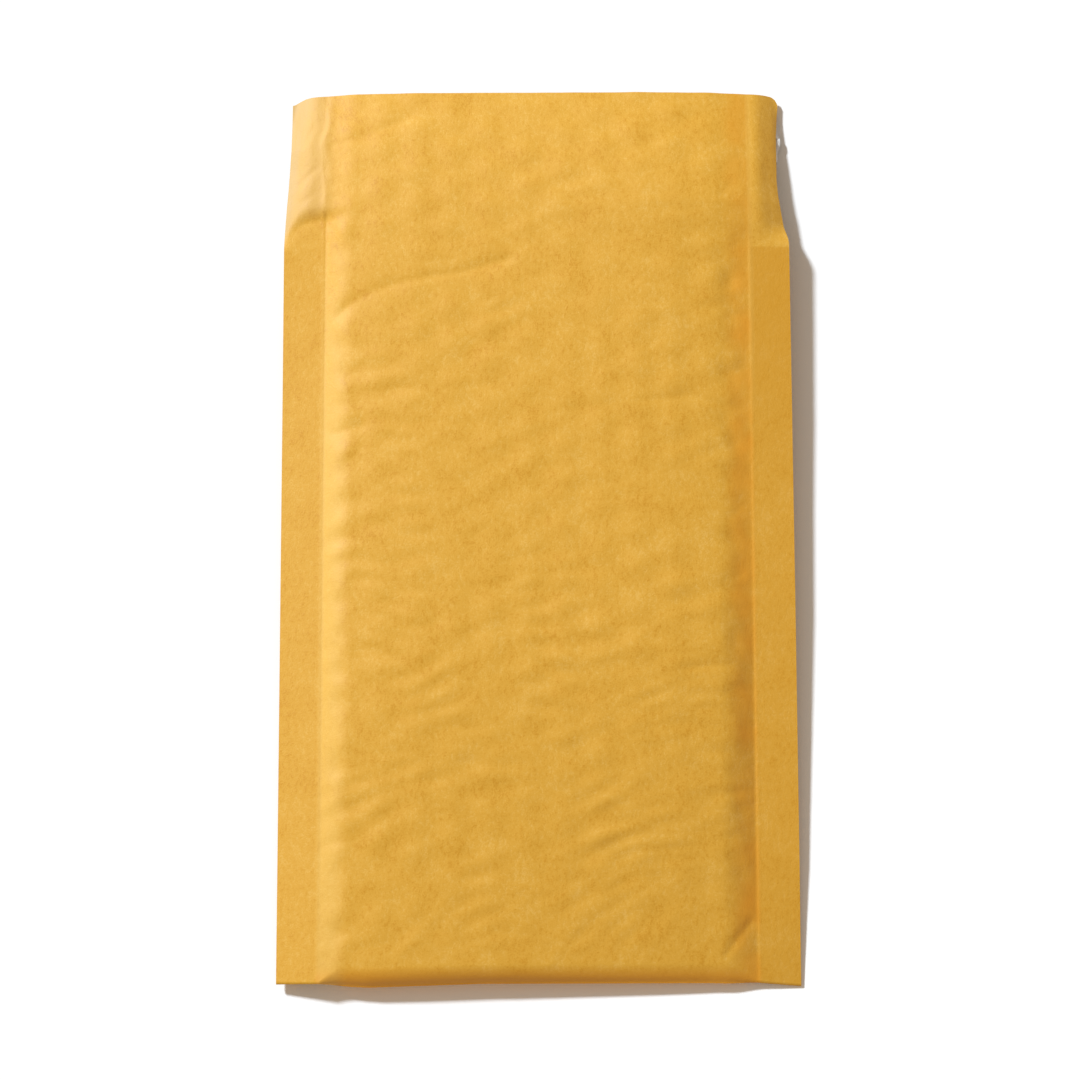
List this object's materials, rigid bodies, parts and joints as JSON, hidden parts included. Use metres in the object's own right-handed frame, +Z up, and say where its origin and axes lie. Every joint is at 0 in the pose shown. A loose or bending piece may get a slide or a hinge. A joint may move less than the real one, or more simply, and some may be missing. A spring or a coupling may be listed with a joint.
{
  "type": "padded mailer",
  "caption": "Kraft paper mailing envelope lined with bubble film, bottom fold, pressed side seams and an open self-seal flap.",
  "frame": {"origin": "middle of the mailer's footprint, on the surface that it lies on", "axes": "+Y from the bottom fold to the end of the open flap, +X to the right of the address side, +Z up out of the address side"},
  "size_m": [0.139, 0.2446, 0.0096],
  "materials": {
    "kraft_paper": "golden kraft paper, matte with a faint sheen and fine fibre mottling",
    "bubble_film": "clear polyethylene bubble film",
    "hot_melt": "clear, slightly yellow hot-melt adhesive",
    "siliconed_paper": "smooth white siliconed release paper"
  },
  "bodies": {
    "root": {"kraft_shell": "kraft_paper", "bubble_lining": "bubble_film", "adhesive_strip": "hot_melt", "release_liner": "siliconed_paper"}
  },
  "joints": []
}
